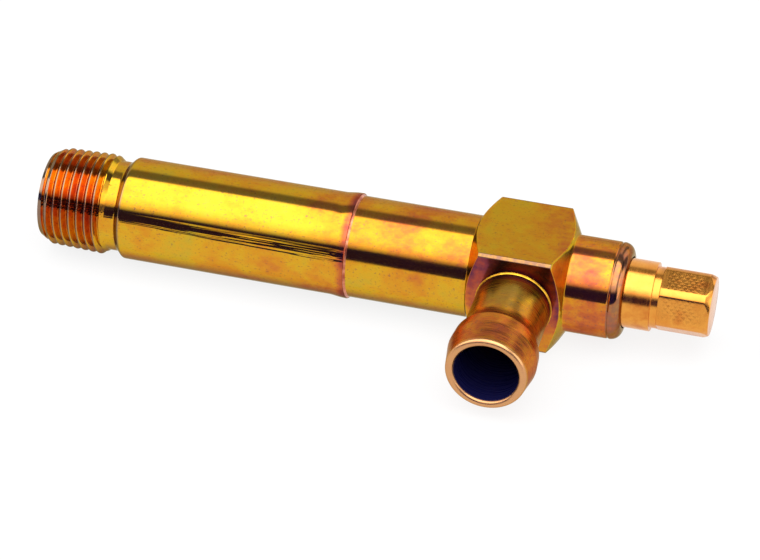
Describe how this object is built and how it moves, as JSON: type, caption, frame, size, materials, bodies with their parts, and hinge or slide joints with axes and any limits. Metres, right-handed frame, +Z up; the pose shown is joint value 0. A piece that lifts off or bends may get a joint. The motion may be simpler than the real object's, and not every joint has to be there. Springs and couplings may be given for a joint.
{
  "type": "oil drain valve",
  "caption": "Straight drain valve with a tapered pipe thread, a long tube, a square body, a side hose barb and a brass screw stem with a hexagon end.",
  "frame": {"origin": "centre of the threaded end face, on the main axis", "axes": "+X along the main axis from the threaded end to the stem, the hose barb points along -Y, +Z up"},
  "size_m": [0.115, 0.0378, 0.018],
  "materials": {
    "plated_steel": "yellow dichromate zinc plate on turned steel",
    "braze": "brazing alloy under the plating",
    "brass": "turned brass",
    "nitrile": "moulded nitrile rubber",
    "ptfe": "turned PTFE",
    "washer_steel": "stamped steel",
    "spring_steel": "wire"
  },
  "bodies": {
    "valve": {"extension_tube": "plated_steel", "tube_braze": "braze", "valve_body": "plated_steel", "hose_barb": "plated_steel", "barb_braze": "braze", "retaining_washer": "washer_steel", "wiper_ring": "nitrile"},
    "poppet": {"poppet": "brass", "poppet_seal": "nitrile", "poppet_clip": "spring_steel"},
    "stem": {"stem": "brass", "stem_o_ring": "nitrile", "backup_ring": "ptfe"}
  },
  "joints": [
    {"name": "poppet_lift", "type": "slide", "parent": "valve", "child": "poppet", "axis": [1, 0, 0], "range_m": [0, 0.00275]},
    {"name": "stem_turn", "type": "hinge", "parent": "poppet", "child": "stem", "pos_m": [0.1, 0, 0], "axis": [1, 0, 0], "range_deg": [0, 792]}
  ],
  "couplings": [
    {"joint": "stem_turn", "follows": "poppet_lift", "rad_per_m": 5026.5}
  ]
}
